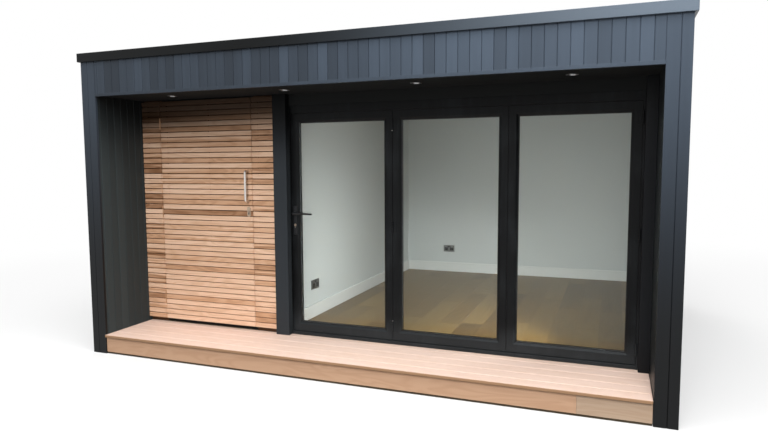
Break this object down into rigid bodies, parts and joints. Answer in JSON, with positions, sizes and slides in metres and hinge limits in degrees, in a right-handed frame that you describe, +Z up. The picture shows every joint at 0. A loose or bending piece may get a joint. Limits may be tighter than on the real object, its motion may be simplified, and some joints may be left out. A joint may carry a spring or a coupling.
{
  "type": "garden office pod",
  "caption": "Flat-roofed garden office pod: dark board-clad box with a recessed front, a folding glazed door, a timber deck and a slatted wall that hides a store door.",
  "frame": {"origin": "on the ground at the centre of the plan, under the middle bearer", "axes": "+X to the right seen from the front, +Y to the back, +Z up; the recessed front faces -Y"},
  "size_m": [4.565, 4.05, 2.5],
  "materials": {
    "cladding": "dark blue-grey paint, satin",
    "black_trim": "near-black powder coat, satin",
    "black_panel": "black paint, matt",
    "door_aluminium": "anthracite powder coat, satin",
    "black_handle": "black, satin",
    "steel": "brushed",
    "cedar": "planed cedar, clear oil",
    "deck_timber": "new pale deck boards",
    "base_timber": "sawn, treated",
    "plaster": "white emulsion, matt",
    "floor_oak": "oak boards, satin",
    "membrane": "matt rubber sheet",
    "clear_glass": "clear double glazing",
    "white_paint": "white satin paint",
    "white_plastic": "gloss",
    "lamp_metal": "satin nickel"
  },
  "bodies": {
    "building": {"left_cladding": "cladding", "right_cladding": "cladding", "back_cladding": "cladding", "left_wing_cladding": "cladding", "right_wing_cladding": "cladding", "front_fascia": "cladding", "fascia_strip": "black_trim", "roof_trim": "black_trim", "rear_gutter": "black_trim", "downpipe": "black_trim", "corner_post": "black_trim", "return_board": "black_trim", "soffit": "black_panel", "store_front_left": "black_panel", "store_front_right": "black_panel", "door_heads": "black_panel", "folding_frame": "door_aluminium", "folding_leaf_1": "door_aluminium", "folding_leaf_2": "door_aluminium", "folding_leaf_3": "door_aluminium", "folding_hinges": "door_aluminium", "store_hinges": "door_aluminium", "lever_plate": "black_handle", "left_slats": "cedar", "right_slats": "cedar", "deck_boards": "deck_timber", "deck_fascia": "deck_timber", "ground_bearers": "base_timber", "base_joists": "base_timber", "roof_kerb": "base_timber", "left_wall": "plaster", "right_wall": "plaster", "back_wall": "plaster", "partition_wall": "plaster", "roof_panel": "plaster", "floor_boards": "floor_oak", "roof_membrane": "membrane", "folding_glass": "clear_glass", "skirting": "white_paint", "sockets": "white_plastic", "downlights": "lamp_metal"},
    "store_door": {"store_door": "black_panel", "door_slats": "cedar", "pull_bar": "steel", "store_lock": "steel"},
    "lever": {"lever_handle": "black_handle"}
  },
  "joints": [
    {"name": "store_door_hinge", "type": "hinge", "parent": "building", "child": "store_door", "pos_m": [-1.9245, -1.443, 1.1], "axis": [0, 0, -1], "range_deg": [0, 90]},
    {"name": "lever_turn", "type": "hinge", "parent": "building", "child": "lever", "pos_m": [-0.6045, -1.433, 1.187], "axis": [0, 1, 0], "range_deg": [0, 45], "stiffness_Nm_per_rad": 1.2, "springref_deg": -20.05}
  ]
}
